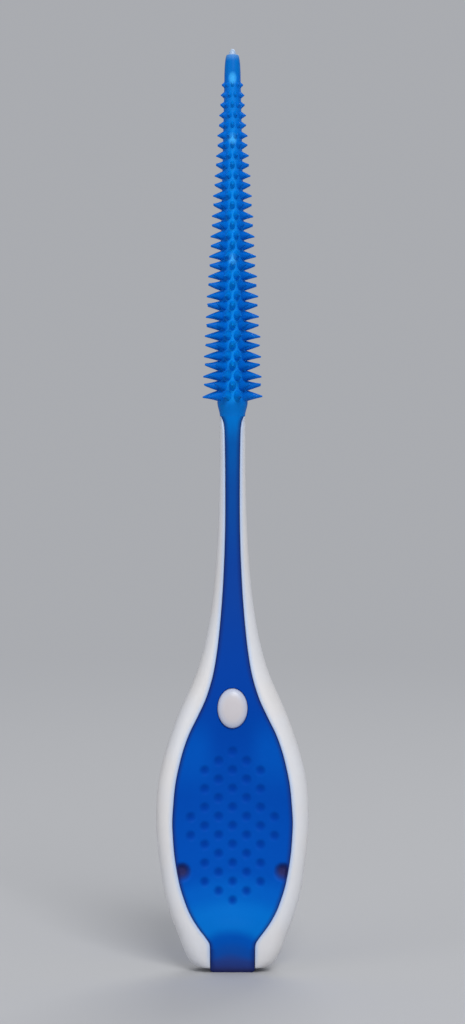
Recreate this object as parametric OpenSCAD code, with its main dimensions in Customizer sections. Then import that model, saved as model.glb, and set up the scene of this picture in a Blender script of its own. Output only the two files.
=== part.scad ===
// Interdental brush: a white moulded carrier with a soft blue overmould.
// It stands on its flat end: +Z runs to the tip, +X to the right, and the dished grip faces -Y.

/* [Overall] */
// Length from the flat end of the handle to the tip of the needle
overall_l = 53.5; // [50:0.5:60]
// Length of the handle and neck, up to the root of the brush sleeve
handle_l = 32.3; // [29:0.1:36]

/* [Frame] */
// Greatest width of the frame round the pads
frame_w = 8.85; // [8.2:0.05:10]
// Greatest thickness of the frame
frame_t = 3.2; // [2.9:0.1:4]
// Radius that rounds the edges of the frame
frame_r = 0.95; // [0.8:0.05:1.1]
// Height of the arms' ends above the flat end
arm_lift = 0.25; // [0.2:0.05:0.5]
// Width of the neck under the sleeve
neck_w = 1.5; // [1.4:0.02:2]
// Thickness of the neck under the sleeve
neck_t = 1.6; // [1.5:0.02:2]
// Thickness of the web that parts the two pads
web_t = 0.7; // [0.5:0.05:0.9]

/* [Grip pads] */
// Greatest width of a pad
pad_w = 6.95; // [6.2:0.05:7.2]
// Width of the soft strip at the neck's narrowest stretch
strip_w = 0.82; // [0.7:0.02:1]
// Width of the tab that wraps over the flat end
tab_w = 2.6; // [2.2:0.05:3]
// Height of the tab, up to the pads
tab_h = 1.45; // [1.3:0.05:1.8]
// Radius of the tab's lower corners, which lie below the arms' ends
tab_r = 0.2; // [0.1:0.05:0.25]
// Height of the web's lower edge inside the tab
web_lift = 0.85; // [0.7:0.05:1.1]
// Step from the frame's crest down to a pad's edge
edge_drop = 0.12; // [0.05:0.01:0.2]
// Depth of the dish in the front pad
dish_d = 0.5; // [0.2:0.05:0.6]
// Drop of the arch in which the dish begins over the tab, from its middle to its sides
arch_drop = 0.7; // [0.3:0.05:1]
// Crown of the rear pad over its edges
crown_h = 0.25; // [0.1:0.05:0.4]

/* [Grip details] */
// Distance of the oval boss's middle below the front pad's top
boss_drop = 1.84; // [1.6:0.02:2.2]
// Width of the oval boss
boss_w = 1.74; // [1.3:0.01:1.8]
// Length of the oval boss
boss_l = 2.3; // [2:0.05:2.5]
// Rise of the boss above the frame's crest
boss_rise = 0.1; // [0.02:0.01:0.2]
// Distance of the dimples' middle row below the pads' widest place
dimple_drop = 0.2; // [0.1:0.02:0.7]
// Spacing of the dimples' rows
dimple_pitch_z = 0.54; // [0.5:0.01:0.56]
// Spacing of the dimples' columns
dimple_pitch_x = 0.806; // [0.75:0.01:0.84]
// Diameter of a dimple's mouth
dimple_dia = 0.58; // [0.4:0.01:0.62]
// Depth of a dimple
dimple_depth = 0.1; // [0.05:0.01:0.14]
// Distance of the two support pockets at the front pad's edges below the pads' widest place
pocket_drop = 2.9; // [2.5:0.1:3.3]
// Diameter of a support pocket
pocket_dia = 0.85; // [0.7:0.05:1.1]
// Depth of a support pocket, from the pad's edge
pocket_depth = 0.75; // [0.4:0.05:0.9]

/* [Brush] */
// Diameter of the sleeve at its root
sleeve_dia = 1.46; // [1.36:0.02:1.8]
// Greatest diameter of the sleeve, where the bristles begin
sleeve_wide_dia = 1.76; // [1.6:0.02:2]
// Diameter of the sleeve where the bristles end
sleeve_tip_dia = 0.94; // [0.86:0.02:1.1]
// Diameter of the needle at the sleeve's root
needle_dia = 0.84; // [0.7:0.02:0.9]
// Diameter of the needle at its tip
needle_tip_dia = 0.42; // [0.36:0.02:0.5]
// Length of bare needle past the sleeve
needle_bare = 0.35; // [0.2:0.05:0.6]
// Diameter of the sleeve's mouth, where the needle comes out
mouth_dia = 0.64; // [0.6:0.02:0.7]
// Length of the smooth root, below the first ring of bristles
root_l = 0.8; // [0.6:0.1:1.4]
// Length of the smooth nose, above the last ring of bristles
nose_l = 1.7; // [1.4:0.1:2.4]
// Thickness of the slice of sleeve that carries the bristles
slice_t = 0.1; // [0.08:0.01:0.12]
// Diameter over the bristles at the lowest ring
bristle_root_dia = 3.5; // [2.4:0.02:3.8]
// Diameter over the bristles at the highest ring
bristle_tip_dia = 1.3; // [1.2:0.02:1.6]
// Spacing of the rings of bristles
ring_pitch = 0.578; // [0.55:0.001:0.62]
// Bristles in a ring
ring_count = 10; // [10:1:12]
// Height of a bristle's foot
foot_h = 0.46; // [0.2:0.01:0.5]

/* [Hidden] */
$fn = 48;
white = "#e9ebec";
blue = "#0a5fc4";
azure = "#1272d2";
royal = "#123f9e";
// Overrun of a cut past the surface that it opens
over = 1;

// Height share, then how far the frame has swelled from the neck's width to its greatest width
frame_shares = [
    [0.006, 0.33], [0.012, 0.41], [0.02, 0.475], [0.04, 0.565], [0.065, 0.645], [0.11, 0.79], [0.16, 0.895],
    [0.275, 1], [0.355, 0.95], [0.45, 0.7], [0.55, 0.335], [0.65, 0.14], [0.77, 0.04], [0.88, 0.005],
    [0.94, 0], [0.972, 0], [1, 0]
];
// Height share, then how far the frame has thickened from the neck's thickness to its greatest
depth_shares = [
    [0, 0.05], [0.006, 0.3], [0.012, 0.45], [0.025, 0.65], [0.05, 0.84], [0.09, 0.96], [0.14, 1],
    [0.3, 1], [0.45, 0.86], [0.6, 0.52], [0.75, 0.2], [0.9, 0.03], [1, 0]
];
// Height share, then how far the neck's top has passed from its own size to the sleeve's
throat_shares = [[0.94, 0], [0.972, 0], [1, 1]];
// Where the pads are widest, where the front pad gives way to the strip, and the rear pad's taper
wide_share = 0.272;
pad_top_share = 0.535;
rear_taper_share = 0.4;
rear_top_share = 0.55;
// Share of the way from the tab to the pads' widest place, then how far they have widened there.
// The points past 0 and 1 only level the curve at its ends.
toe_shares = [
    [-0.1, 0], [0, 0], [0.048, 0.02], [0.075, 0.074], [0.109, 0.155], [0.143, 0.243], [0.211, 0.4],
    [0.28, 0.53], [0.348, 0.63], [0.484, 0.782], [0.62, 0.88], [0.757, 0.948], [0.893, 0.985],
    [1, 1], [1.3, 0.98]
];
// Height share, then how far the soft inlay is swelled from the strip's width to the pad's.
// The point below the widest place only levels the curve there.
pad_shares = [
    [0.2, 0.98], [wide_share, 1], [0.31, 0.977], [0.341, 0.944], [0.372, 0.88], [0.403, 0.795],
    [0.433, 0.68], [0.464, 0.52], [0.495, 0.37], [pad_top_share, 0.24], [0.573, 0.167], [0.619, 0.109],
    [0.681, 0.055], [0.743, 0.021], [0.8, 0.004], [0.85, 0], [0.882, 0]
];
// Height share, then how far the strip has flared from its own width to the flare's
flare_shares = [[0.85, 0], [0.9, 0.02], [0.94, 0.08], [0.966, 0.15], [0.98, 0.24], [0.991, 0.47], [1, 1]];
// Height share, then how deep the front pad is dished
dish_shares = [
    [0.07, 0], [0.085, 0.14], [0.105, 0.48], [0.135, 0.84], [0.2, 1], [0.3, 1], [0.4, 0.7], [0.477, 0.3],
    [pad_top_share, 0.08], [0.65, 0]
];
// Height share, then how much of the web's half thickness lies in front of the neck's middle
floor_shares = [[pad_top_share, 1], [0.6, 0.9], [0.7, 0.65], [0.8, 0.5], [0.966, 0.5], [1, 0.3]];
// Bluntness of the rear pad's rounded top, and how far round it runs, in degrees, before it is cut off
cap_power = 4;
cap_sweep = 84;
// Width of the flared strip, as a share of the sleeve's root
flare_w_share = 0.9;
// Least distance between two places on a curve, and how near a rounded edge comes to a half circle
place_gap_share = 0.002;
round_share = 0.96;
// Place of a pocket's middle inside the pad's edge, and width of a bristle's tip, as shares
pocket_in_share = 0.3;
tip_w_share = 0.28;
// How late the bristles' reach falls off towards the tip
reach_power = 1.2;
// Steps between two points of a table, on the tab, across a pad and a strip, round an edge and a cap
span_steps = 2;
tab_steps = 4;
pad_cols = 12;
strip_cols = 6;
edge_steps = 6;
cap_steps = 6;
boss_steps = 32;
// Rows of dimples, and columns to either side in the middle rows and in the others
dimple_rows = 17;
middle_cols = 3;
outer_cols = 2;

// Slope of a table at one of its points, level at a crest or a hollow
function slope(table, i) =
    let (a = table[max(i - 1, 0)], b = table[i], c = table[min(i + 1, len(table) - 1)])
    i > 0 && i < len(table) - 1 && (b[1] - a[1]) * (c[1] - b[1]) <= 0 ? 0 : (c[1] - a[1]) / (c[0] - a[0]);

// Stretch of a table that holds a place
function stretch(table, s, i = 0) =
    i >= len(table) - 2 || s <= table[i + 1][0] ? i : stretch(table, s, i + 1);

// Smooth curve through a table's points, level beyond its ends
function curve(table, s) =
    s <= table[0][0] ? table[0][1] :
    s >= table[len(table) - 1][0] ? table[len(table) - 1][1] :
    let (i = stretch(table, s), a = table[i], b = table[i + 1], h = b[0] - a[0], t = (s - a[0]) / h)
    a[1] * (1 + 2 * t) * (1 - t) * (1 - t) + b[1] * t * t * (3 - 2 * t)
    + h * (slope(table, i) * t * (1 - t) * (1 - t) - slope(table, i + 1) * t * t * (1 - t));

// Places of a table between two shares, each stretch cut into equal steps
function places(table, from, to, steps = span_steps) = [
    from,
    for (i = [0 : len(table) - 2], k = [0 : steps - 1])
        let (s = table[i][0] + (table[i + 1][0] - table[i][0]) * k / steps)
        if (s > from + place_gap_share && s < to - place_gap_share) s,
    to
];

// Shares of the handle's length where the pieces meet
tab_share = tab_h / handle_l;
arm_share = arm_lift / handle_l;
boss_z = pad_top_share * handle_l - boss_drop;
dimple_z = wide_share * handle_l - dimple_drop;
pocket_z = wide_share * handle_l - pocket_drop;

// Half the frame's width and thickness, and half the inlay's width, at a share of the handle's length
function frame_half(s) = (
    neck_w + (frame_w - neck_w) * curve(frame_shares, s)
    + (sleeve_dia - neck_w) * curve(throat_shares, s)
) / 2;
function depth_half(s) = (
    neck_t + (frame_t - neck_t) * curve(depth_shares, s)
    + (sleeve_dia - neck_t) * curve(throat_shares, s)
) / 2;
function inlay_half(s) = s < wide_share
    ? (tab_w + (pad_w - tab_w) * curve(toe_shares, (s - tab_share) / (wide_share - tab_share))) / 2
    : (strip_w + (pad_w - strip_w) * curve(pad_shares, s)
        + (sleeve_dia * flare_w_share - strip_w) * curve(flare_shares, s)) / 2;
function rear_half(s) =
    let (t = max(0, (s - rear_taper_share) / (rear_top_share - rear_taper_share)))
    inlay_half(s) * sqrt(1 - pow(t, cap_power));

// Radius of the frame's edges, and how far its face stands from the middle at a distance x from the axis
function edge_r(s) = min(frame_r, round_share * frame_half(s), round_share * depth_half(s));
function rim_y(x, s) =
    let (r = edge_r(s), out = max(0, x - frame_half(s) + r))
    depth_half(s) - r + sqrt(r * r - out * out);

// Faces of the front inlay and of the rear pad, across u from -1 to 1, and the floors that they lie on.
// The strip's top comes up flush with the sleeve.
function front_face(u, s) =
    edge_drop * (1 - curve(throat_shares, s)) - rim_y(abs(u) * inlay_half(s), s)
    + dish_d * curve(dish_shares, s + arch_drop / handle_l * u * u) * (1 - u * u);
function rear_face(u, s) = depth_half(s) - edge_drop - crown_h * min(1, s / tab_share - 1) * u * u;
function web_face(s) = -web_t / 2 * curve(floor_shares, s);

// Places along the inlay's edges
toe_places = places(
    [for (p = toe_shares) [tab_share + (wide_share - tab_share) * p[0], 0]],
    tab_share, wide_share
);
front_places = concat(
    toe_places,
    [for (s = places(pad_shares, wide_share, pad_top_share)) if (s > wide_share) s]
);
neck_places = concat(
    places(pad_shares, pad_top_share, flare_shares[0][0]),
    [for (s = places(flare_shares, flare_shares[0][0], 1)) if (s > flare_shares[0][0]) s]
);
bed_places = concat(front_places, [for (s = neck_places) if (s > pad_top_share) s], [1 + over / handle_l]);
rear_places = concat(
    toe_places,
    [for (s = places(pad_shares, wide_share, rear_taper_share)) if (s > wide_share) s],
    [for (k = [1 : cap_steps])
        rear_taper_share + (rear_top_share - rear_taper_share) * sin(cap_sweep * k / cap_steps)]
);

// Section of the frame: a rounded rectangle in the XY plane
function frame_ring(s) =
    let (w = frame_half(s), d = depth_half(s), r = edge_r(s))
    [for (q = [0 : 3], k = [0 : edge_steps])
        let (a = 90 * (q + k / edge_steps), sx = q == 0 || q == 3 ? 1 : -1, sy = q < 2 ? 1 : -1)
        [sx * (w - r) + r * cos(a), sy * (d - r) + r * sin(a), s * handle_l]];

// Oval of the boss, drawn in by a share, at a depth
function boss_ring(share, y) = [for (k = [0 : boss_steps - 1])
    let (a = 360 * k / boss_steps)
    [boss_w / 2 * share * cos(a), y, boss_z + boss_l / 2 * share * sin(a)]];

// Two triangles on four points in order
function quad(a, b, c, d) = [[a, b, c], [a, c, d]];

// Solid through a list of convex rings with as many points each
module loft(rings) {
    n = len(rings[0]);
    m = len(rings);
    polyhedron(
        points = [for (ring = rings) for (p = ring) p],
        faces = concat(
            [for (i = [0 : m - 2], j = [0 : n - 1])
                let (a = i * n + j, b = i * n + (j + 1) % n)
                for (f = quad(a, a + n, b + n, b)) f],
            [for (j = [1 : n - 2]) [0, j, j + 1]],
            [for (j = [1 : n - 2]) [(m - 1) * n, (m - 1) * n + j + 1, (m - 1) * n + j]]
        )
    );
}

// Soft inlay between the web and a curved face in front of it, over the given places
module inlay(spots, cols, half, face) {
    n = cols + 1;
    m = len(spots);
    last = m * n;
    polyhedron(
        points = concat(
            [for (s = spots, j = [0 : cols])
                let (u = 2 * j / cols - 1)
                [u * half(s), face(u, s), s * handle_l]],
            [for (s = spots, j = [0 : cols])
                let (u = 2 * j / cols - 1)
                [u * half(s), web_face(s), s * handle_l]]
        ),
        faces = concat(
            [for (i = [0 : m - 2], j = [0 : cols - 1])
                let (a = i * n + j)
                for (f = concat(
                    quad(a, a + n, a + n + 1, a + 1),
                    quad(last + a, last + a + 1, last + a + n + 1, last + a + n)
                )) f],
            [for (i = [0 : m - 2])
                let (a = i * n, b = a + cols)
                for (f = concat(
                    quad(a, last + a, last + a + n, a + n),
                    quad(b, b + n, last + b + n, last + b)
                )) f],
            [for (j = [0 : cols - 1])
                let (b = (m - 1) * n + j)
                for (f = concat(
                    quad(j, j + 1, last + j + 1, last + j),
                    quad(b, last + b, last + b + 1, b + 1)
                )) f]
        )
    );
}

// Bed of an inlay: the same solid, run down past the flat end and out through the front
module bed(spots, half) {
    inlay(concat([-over / handle_l], spots), 1, half, function (u, s) -frame_t);
}

// One round dimple, pressed into a face at a depth
module dimple(x, y, z) {
    ball_r = (dimple_dia * dimple_dia / 4 + dimple_depth * dimple_depth) / (2 * dimple_depth);
    translate([x, y + dimple_depth - ball_r, z]) sphere(ball_r);
}

// Staggered field of dimples on a face
module dimples(half, face) {
    middle = (dimple_rows - 1) / 2;
    for (r = [0 : dimple_rows - 1]) {
        reach = min(r, dimple_rows - 1 - r, abs(r - middle) <= 1 ? middle_cols : outer_cols);
        z = dimple_z + dimple_pitch_z * (r - middle);
        for (c = [-reach : reach])
            if ((c + r) % 2 == 0) {
                x = c * dimple_pitch_x;
                dimple(x, face(x / half(z / handle_l), z / handle_l), z);
            }
    }
}

// Radius of the sleeve at a height in the bristles' stretch, and of the needle's core
bristle_z0 = handle_l + root_l;
bristle_z1 = overall_l - nose_l;
mouth_z = overall_l - needle_bare;
function sleeve_r(z) =
    let (t = (z - bristle_z0) / (bristle_z1 - bristle_z0))
    (sleeve_wide_dia + (sleeve_tip_dia - sleeve_wide_dia) * t) / 2;
function needle_r(z) =
    (needle_dia + (needle_tip_dia - needle_dia) * (z - handle_l) / (mouth_z - handle_l)) / 2;

module boss() {
    spring_y = front_face(0, boss_z / handle_l);
    rise = depth_half(boss_z / handle_l) + boss_rise + spring_y;
    domes = [for (k = [0 : cap_steps - 1])
        let (a = 90 * k / cap_steps)
        boss_ring(cos(a), spring_y - rise * sin(a))];
    loft(concat([boss_ring(1, 0)], domes));
}

module carrier() {
    color(white) {
        difference() {
            loft([for (s = places(frame_shares, arm_share, 1)) frame_ring(s)]);
            bed(bed_places, function (s) inlay_half(s));
            mirror([0, 1, 0]) bed(rear_places, function (s) rear_half(s));
            translate([-tab_w / 2, -frame_t, -over]) cube([tab_w, 2 * frame_t, over + web_lift]);
        }
        boss();
        rotate_extrude() polygon(concat(
            [[0, handle_l], [needle_dia / 2, handle_l], [needle_tip_dia / 2, mouth_z]],
            [for (k = [1 : cap_steps])
                let (a = 90 * k / cap_steps)
                [needle_tip_dia / 2 * cos(a), mouth_z + needle_bare * sin(a)]]
        ));
    }
}

module front_grip_pad() {
    half = function (s) inlay_half(s);
    face = function (u, s) front_face(u, s);
    pocket_x = inlay_half(pocket_z / handle_l) - pocket_in_share * pocket_dia;
    pocket_y = front_face(1, pocket_z / handle_l) + pocket_depth;
    color(blue) difference() {
        inlay(front_places, pad_cols, half, face);
        loft([boss_ring(1, 0), boss_ring(1, -frame_t)]);
        dimples(half, face);
        for (side = [-1, 1])
            translate([side * pocket_x, pocket_y, pocket_z]) rotate([90, 0, 0])
                cylinder(h = frame_t, d = pocket_dia);
    }
}

module rear_grip_pad() {
    half = function (s) rear_half(s);
    face = function (u, s) -rear_face(u, s);
    color(blue) mirror([0, 1, 0]) difference() {
        inlay(rear_places, pad_cols, half, face);
        dimples(half, face);
    }
}

module neck_inlay() {
    half = function (s) inlay_half(s);
    face = function (u, s) front_face(u, s);
    color(royal) inlay(neck_places, strip_cols, half, face);
}

module end_tab() {
    spots = places(depth_shares, 0, tab_share, tab_steps);
    edge = [for (s = spots) [depth_half(s) - edge_drop, s * handle_l]];
    color(royal) intersection() {
        rotate([90, 0, 90]) linear_extrude(tab_w, center = true) difference() {
            polygon(concat(edge, [for (i = [len(edge) - 1 : -1 : 0]) [-edge[i][0], edge[i][1]]]));
            translate([-web_t / 2, web_lift]) square([web_t, handle_l]);
        }
        rotate([90, 0, 0]) linear_extrude(2 * frame_t, center = true) hull() {
            for (side = [-1, 1]) translate([side * (tab_w / 2 - tab_r), tab_r]) circle(tab_r);
            translate([-tab_w / 2, tab_r]) square([tab_w, tab_h]);
        }
    }
}

module brush_sleeve() {
    color(azure) rotate_extrude() polygon(concat(
        [[needle_r(handle_l), handle_l]],
        [for (k = [0 : cap_steps])
            let (t = k / cap_steps)
            [
                (sleeve_dia + (sleeve_wide_dia - sleeve_dia) * t * t * (3 - 2 * t)) / 2,
                handle_l + root_l * t
            ]],
        [[sleeve_r(bristle_z0) - slice_t, bristle_z0], [sleeve_r(bristle_z1) - slice_t, bristle_z1]],
        [for (k = [0 : cap_steps])
            let (a = 90 * k / cap_steps)
            [
                mouth_dia / 2 + (sleeve_tip_dia - mouth_dia) / 2 * cos(a),
                bristle_z1 + (mouth_z - bristle_z1) * sin(a)
            ]],
        [[needle_r(mouth_z), mouth_z]]
    ));
}

module bristles() {
    n = 2 * ring_count;
    rings = floor((bristle_z1 - bristle_z0) / ring_pitch);
    first = bristle_z0 + (bristle_z1 - bristle_z0 - (rings - 1) * ring_pitch) / 2;
    levels = concat(
        [bristle_z0],
        [for (k = [0 : rings - 1], e = [-1, 1]) first + k * ring_pitch + e * foot_h / 2],
        [bristle_z1]
    );
    m = len(levels);
    inner = m * n;
    tips = inner + 2 * n;
    tip_w = tip_w_share * foot_h;
    // The lowest ring has a strand at each side, and the next has one at the front
    skin_points = [for (z = levels, j = [0 : n - 1])
        let (a = 360 * (j - 1 / 2) / n)
        [sleeve_r(z) * cos(a), sleeve_r(z) * sin(a), z]];
    // The bore is the slice's inner skin, whose flats lie on the sleeve under it
    bore_points = [for (z = [bristle_z0, bristle_z1], j = [0 : n - 1])
        let (r = (sleeve_r(z) - slice_t) / cos(180 / n), a = 360 * (j - 1 / 2) / n)
        [r * cos(a), r * sin(a), z]];
    corners = [[-1, -1], [-1, 1], [1, 1], [1, -1]];
    tip_points = [for (k = [0 : rings - 1], j = [k % 2 : 2 : n - 1], c = corners)
        let (
            a = 360 * j / n,
            t = pow(k / (rings - 1), reach_power),
            r = (bristle_root_dia + (bristle_tip_dia - bristle_root_dia) * t) / 2,
            x = c[0] * tip_w / 2
        )
        [r * cos(a) - x * sin(a), r * sin(a) + x * cos(a), first + k * ring_pitch + c[1] * tip_w / 2]];
    skin_faces = [for (i = [0 : m - 2], j = [0 : n - 1])
        if (i % 2 == 0 || (j + (i - 1) / 2) % 2 == 1)
            let (a = i * n + j, b = i * n + (j + 1) % n)
            for (f = quad(a, a + n, b + n, b)) f];
    strand_faces = [for (k = [0 : rings - 1], h = [0 : ring_count - 1])
        let (
            i = 2 * k + 1,
            j = 2 * h + k % 2,
            a = i * n + j,
            b = i * n + (j + 1) % n,
            foot = [a, a + n, b + n, b],
            t = tips + 4 * (k * ring_count + h)
        )
        for (f = concat(
            [for (e = [0 : 3]) for (g = quad(foot[e], foot[(e + 1) % 4], t + (e + 1) % 4, t + e)) g],
            quad(t, t + 1, t + 2, t + 3)
        )) f];
    bore_faces = [for (j = [0 : n - 1])
        let (k = (j + 1) % n, top = (m - 1) * n)
        for (f = concat(
            quad(inner + j, inner + k, inner + n + k, inner + n + j),
            quad(j, k, inner + k, inner + j),
            quad(top + k, top + j, inner + n + j, inner + n + k)
        )) f];
    color(azure) polyhedron(
        points = concat(skin_points, bore_points, tip_points),
        faces = concat(skin_faces, strand_faces, bore_faces)
    );
}

carrier();
front_grip_pad();
rear_grip_pad();
neck_inlay();
end_tab();
brush_sleeve();
bristles();
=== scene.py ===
# %% [markdown]
# # An interdental brush
#
# The real brush is moulded in two shots. The first shot is a stiff white frame with a thin needle at
# its end. The second is one soft blue skin, run round that frame as two grip pads, a strip in the neck,
# a tab over the flat end, and a sleeve with rows of bristles on the needle.
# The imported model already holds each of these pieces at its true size. This lesson loads it as a fixed
# frame, takes its measures from it, and builds a finer mesh for each piece in the same place.
# Every length below is in millimetres until a mesh is made, because a brush of 53 mm is easier to think
# about that way.

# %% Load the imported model
import math

import bmesh
import bpy
import numpy as np
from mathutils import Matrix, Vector


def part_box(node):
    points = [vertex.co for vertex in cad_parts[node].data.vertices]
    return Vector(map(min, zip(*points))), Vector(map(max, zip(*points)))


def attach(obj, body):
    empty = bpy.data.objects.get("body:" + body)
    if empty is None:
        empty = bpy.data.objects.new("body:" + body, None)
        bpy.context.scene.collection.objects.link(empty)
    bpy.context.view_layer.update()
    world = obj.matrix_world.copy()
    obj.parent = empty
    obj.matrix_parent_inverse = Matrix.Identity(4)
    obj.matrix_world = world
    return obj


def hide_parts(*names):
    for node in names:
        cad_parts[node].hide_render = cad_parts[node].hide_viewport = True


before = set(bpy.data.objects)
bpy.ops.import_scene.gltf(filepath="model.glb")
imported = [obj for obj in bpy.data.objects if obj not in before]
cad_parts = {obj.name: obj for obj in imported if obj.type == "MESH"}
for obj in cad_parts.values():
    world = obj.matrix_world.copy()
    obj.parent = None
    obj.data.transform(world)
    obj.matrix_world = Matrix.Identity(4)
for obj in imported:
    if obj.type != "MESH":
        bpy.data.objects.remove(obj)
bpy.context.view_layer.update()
print("nodes:", sorted(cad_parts))

# %% [markdown]
# ## Measures
#
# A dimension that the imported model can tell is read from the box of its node, so a change of size there
# moves everything here. The few that no box shows, such as the width of the neck, are named below.
# Where a name ends in 0 or 1, the 0 is the end by the handle and the 1 is the end by the tip.

# %% Read the sizes
MM = 0.001


def box(node):
    """Lowest and highest corner of a node, in millimetres."""
    low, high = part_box(node)
    return np.array(low) / MM, np.array(high) / MM


carrier_low, carrier_high = box("carrier")
pad_low, pad_high = box("front_grip_pad")
tab_low, tab_high = box("end_tab")
bristle_low, bristle_high = box("bristles")
neck_high = box("neck_inlay")[1]
sleeve_high = box("brush_sleeve")[1]

handle_l = neck_high[2]
frame_w = carrier_high[0] - carrier_low[0]
frame_t = carrier_high[1] - carrier_low[1]
arm_z = carrier_low[2]
pad_w = pad_high[0] - pad_low[0]
pad_top_z = pad_high[2]
edge_drop = pad_low[1] - carrier_low[1]
tab_w = tab_high[0] - tab_low[0]
tab_h = tab_high[2]
sleeve_wide_r = sleeve_high[0]
bristle_z0, bristle_z1 = bristle_low[2], bristle_high[2]
mouth_z = sleeve_high[2]
tip_z = carrier_high[2]

NECK_W = 1.5
NECK_T = 1.6
SLEEVE_R0 = 0.73
WEB_T = 0.7
WEB_Z = 0.85
TAB_R = 0.2
STRIP_W = 0.82
FRAME_R = 0.95
ROUND_SHARE = 0.96
DISH = 0.5
ARCH_DROP = 0.7
CROWN = 0.25
print(f"handle {handle_l:.2f} long, frame {frame_w:.2f} by {frame_t:.2f}, brush up to {tip_z:.2f}")

# %% [markdown]
# ## Outlines
#
# The handle has no straight line in it: its width, its thickness, the pads and the dish all swell and
# fade along its length. Each is a short table of shares, which one smooth curve runs through. A share of
# the handle's length comes first, and then how far the shape has swelled there.

# %% Curves through tables of shares
RIM_SHARES = [
    (0.006, 0.33), (0.012, 0.41), (0.02, 0.475), (0.04, 0.565), (0.065, 0.645), (0.11, 0.79), (0.16, 0.895),
    (0.275, 1), (0.355, 0.95), (0.45, 0.7), (0.55, 0.335), (0.65, 0.14), (0.77, 0.04), (0.88, 0.005),
    (0.94, 0), (0.972, 0), (1, 0),
]
DEPTH_SHARES = [
    (0, 0.05), (0.006, 0.3), (0.012, 0.45), (0.025, 0.65), (0.05, 0.84), (0.09, 0.96), (0.14, 1),
    (0.3, 1), (0.45, 0.86), (0.6, 0.52), (0.75, 0.2), (0.9, 0.03), (1, 0),
]
THROAT_SHARES = [(0.94, 0), (0.972, 0), (1, 1)]
WIDE_SHARE = 0.272
TOE_SHARES = [
    (-0.1, 0), (0, 0), (0.048, 0.02), (0.075, 0.074), (0.109, 0.155), (0.143, 0.243), (0.211, 0.4),
    (0.28, 0.53), (0.348, 0.63), (0.484, 0.782), (0.62, 0.88), (0.757, 0.948), (0.893, 0.985),
    (1, 1), (1.3, 0.98),
]
PAD_SHARES = [
    (0.2, 0.98), (WIDE_SHARE, 1), (0.31, 0.977), (0.341, 0.944), (0.372, 0.88), (0.403, 0.795),
    (0.433, 0.68), (0.464, 0.52), (0.495, 0.37), (0.535, 0.24), (0.573, 0.167), (0.619, 0.109),
    (0.681, 0.055), (0.743, 0.021), (0.8, 0.004), (0.85, 0), (0.882, 0),
]
FLARE_SHARES = [(0.85, 0), (0.9, 0.02), (0.94, 0.08), (0.966, 0.15), (0.98, 0.24), (0.991, 0.47), (1, 1)]
FLARE_W_SHARE = 0.9
DISH_SHARES = [
    (0.07, 0), (0.085, 0.14), (0.105, 0.48), (0.135, 0.84), (0.2, 1), (0.3, 1), (0.4, 0.7), (0.477, 0.3),
    (0.535, 0.08), (0.65, 0),
]
FLOOR_SHARES = [(0.535, 1), (0.6, 0.9), (0.7, 0.65), (0.8, 0.5), (0.966, 0.5), (1, 0.3)]
REAR_TAPER_SHARE = 0.4
REAR_TOP_SHARE = 0.55
REAR_CAP_POWER = 4


def curve(table, places):
    """Smooth curve through a table, level at its crests and hollows and beyond its ends."""
    at, value = np.array(table, float).T
    last = len(at) - 1
    below = np.maximum(np.arange(last + 1) - 1, 0)
    above = np.minimum(np.arange(last + 1) + 1, last)
    slope = (value[above] - value[below]) / (at[above] - at[below])
    turns = (value - value[below]) * (value[above] - value) <= 0
    turns[[0, last]] = False
    slope[turns] = 0
    s = np.clip(places, at[0], at[-1])
    i = np.clip(np.searchsorted(at, s) - 1, 0, last - 1)
    step = at[i + 1] - at[i]
    t = (s - at[i]) / step
    rise = value[i] * (1 + 2 * t) * (1 - t) ** 2 + value[i + 1] * t * t * (3 - 2 * t)
    return rise + step * (slope[i] * t * (1 - t) ** 2 - slope[i + 1] * t * t * (1 - t))


def smooth(x):
    """Eased step from 0 to 1."""
    t = np.clip(x, 0, 1)
    return t * t * (3 - 2 * t)


# %% The frame's and the pads' widths and depths at a height
wide_z = WIDE_SHARE * handle_l


def throat(z):
    """How far the neck's top has passed from its own size to the sleeve's."""
    return curve(THROAT_SHARES, z / handle_l)


def rim_half(z):
    """Half the width of the frame."""
    swell = (frame_w - NECK_W) * curve(RIM_SHARES, z / handle_l)
    return (NECK_W + swell + (2 * SLEEVE_R0 - NECK_W) * throat(z)) / 2


def rim_depth(z):
    """Half the thickness of the frame."""
    swell = (frame_t - NECK_T) * curve(DEPTH_SHARES, z / handle_l)
    return (NECK_T + swell + (2 * SLEEVE_R0 - NECK_T) * throat(z)) / 2


def rim_y(x, z):
    """How far the frame's rounded face stands from its middle, at a distance from the axis."""
    w, d = rim_half(z), rim_depth(z)
    r = np.minimum(FRAME_R, ROUND_SHARE * np.minimum(w, d))
    out = np.clip(abs(x) - w + r, 0, r)
    return d - r + np.sqrt(r * r - out * out)


def web_y(z):
    """Front of the web, on which the blue skin lies."""
    return -WEB_T / 2 * curve(FLOOR_SHARES, z / handle_l)


def inlay_half(z):
    """Half the width of the blue skin on the front."""
    toe = tab_w + (pad_w - tab_w) * curve(TOE_SHARES, (z - tab_h) / (wide_z - tab_h))
    swell = (pad_w - STRIP_W) * curve(PAD_SHARES, z / handle_l)
    flare = (2 * SLEEVE_R0 * FLARE_W_SHARE - STRIP_W) * curve(FLARE_SHARES, z / handle_l)
    return np.where(z < wide_z, toe, STRIP_W + swell + flare) / 2


def rear_half(z):
    """Half the width of the rear pad, which ends in a blunt round top."""
    t = np.clip((z / handle_l - REAR_TAPER_SHARE) / (REAR_TOP_SHARE - REAR_TAPER_SHARE), 0, 1)
    return inlay_half(z) * np.sqrt(1 - t**REAR_CAP_POWER)


print(f"frame {2 * float(rim_half(wide_z)):.2f} wide at {wide_z:.2f}")
print(f"pad {2 * float(inlay_half(wide_z)):.2f} wide there")

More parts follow.
